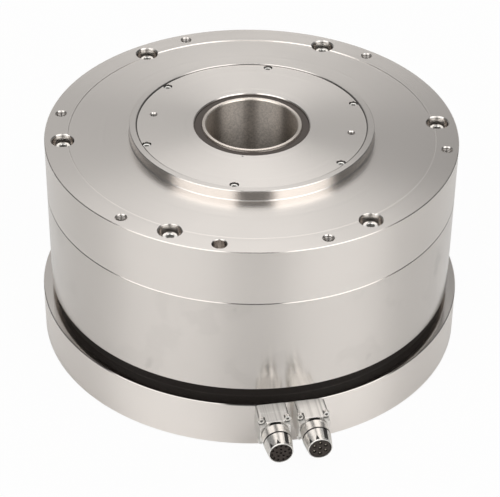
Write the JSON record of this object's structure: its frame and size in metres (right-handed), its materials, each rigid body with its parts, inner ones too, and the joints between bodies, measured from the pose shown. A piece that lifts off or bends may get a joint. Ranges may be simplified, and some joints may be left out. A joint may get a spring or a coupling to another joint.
{
  "type": "torque motor",
  "caption": "Hollow-shaft direct-drive torque motor: a wide turning drum with a bored top plate over a fixed base with two round sockets.",
  "frame": {"origin": "centre of the centring register in the underside of the base, on the rotation axis", "axes": "+Z along the rotation axis towards the load face, -Y out through the two sockets, +X to the power socket's side"},
  "size_m": [0.376, 0.4215, 0.204],
  "materials": {
    "machined_body": "fine turned, nickel plated, satin",
    "shaft_steel": "turned and honed",
    "screw_steel": "bright zinc plated",
    "seal_rubber": "matt black",
    "lamination_steel": "stacked sheet edges",
    "copper_winding": "enamelled copper wire",
    "magnet_nickel": "nickel plated, satin",
    "bearing_steel": "ground and polished",
    "cage_brass": "machined",
    "clamp_steel": "turned",
    "scale_steel": "ground",
    "reader_metal": "dark satin",
    "socket_nickel": "bright nickel plated",
    "insert_plastic": "moulded, dark",
    "contact_gold": "gold plated"
  },
  "bodies": {
    "base": {"base_housing": "machined_body", "hollow_shaft": "shaft_steel", "shaft_screws": "screw_steel", "shaft_seal": "seal_rubber", "dust_seal": "seal_rubber", "stator_core": "lamination_steel", "stator_coils": "copper_winding", "bearing_inner_ring": "bearing_steel", "inner_clamp_ring": "clamp_steel", "inner_clamp_screws": "screw_steel", "encoder_head": "reader_metal", "encoder_screws": "screw_steel", "signal_adapter": "socket_nickel", "power_adapter": "socket_nickel", "signal_socket_body": "socket_nickel", "power_socket_body": "socket_nickel", "signal_sleeve": "socket_nickel", "power_sleeve": "socket_nickel", "signal_insert": "insert_plastic", "power_insert": "insert_plastic", "signal_contacts": "contact_gold", "power_contacts": "contact_gold", "ear_screws": "screw_steel"},
    "roller_set": {"bearing_rollers": "bearing_steel", "bearing_cage": "cage_brass"},
    "rotor": {"top_plate": "machined_body", "spigot_ring": "machined_body", "rotor_drum": "machined_body", "drum_screws": "screw_steel", "rotor_magnets": "magnet_nickel", "cover_disc": "machined_body", "cover_screws": "screw_steel", "bearing_outer_ring": "bearing_steel", "outer_clamp_ring": "clamp_steel", "outer_clamp_screws": "screw_steel", "encoder_scale": "scale_steel"}
  },
  "joints": [
    {"name": "rotor_turn", "type": "hinge", "parent": "base", "child": "rotor", "pos_m": [0, 0, 0.16], "axis": [0, 0, 1], "continuous": true},
    {"name": "roller_set_turn", "type": "hinge", "parent": "base", "child": "roller_set", "pos_m": [0, 0, 0.16], "axis": [0, 0, 1], "continuous": true}
  ],
  "couplings": [
    {"joint": "roller_set_turn", "follows": "rotor_turn", "ratio": 0.5243}
  ]
}
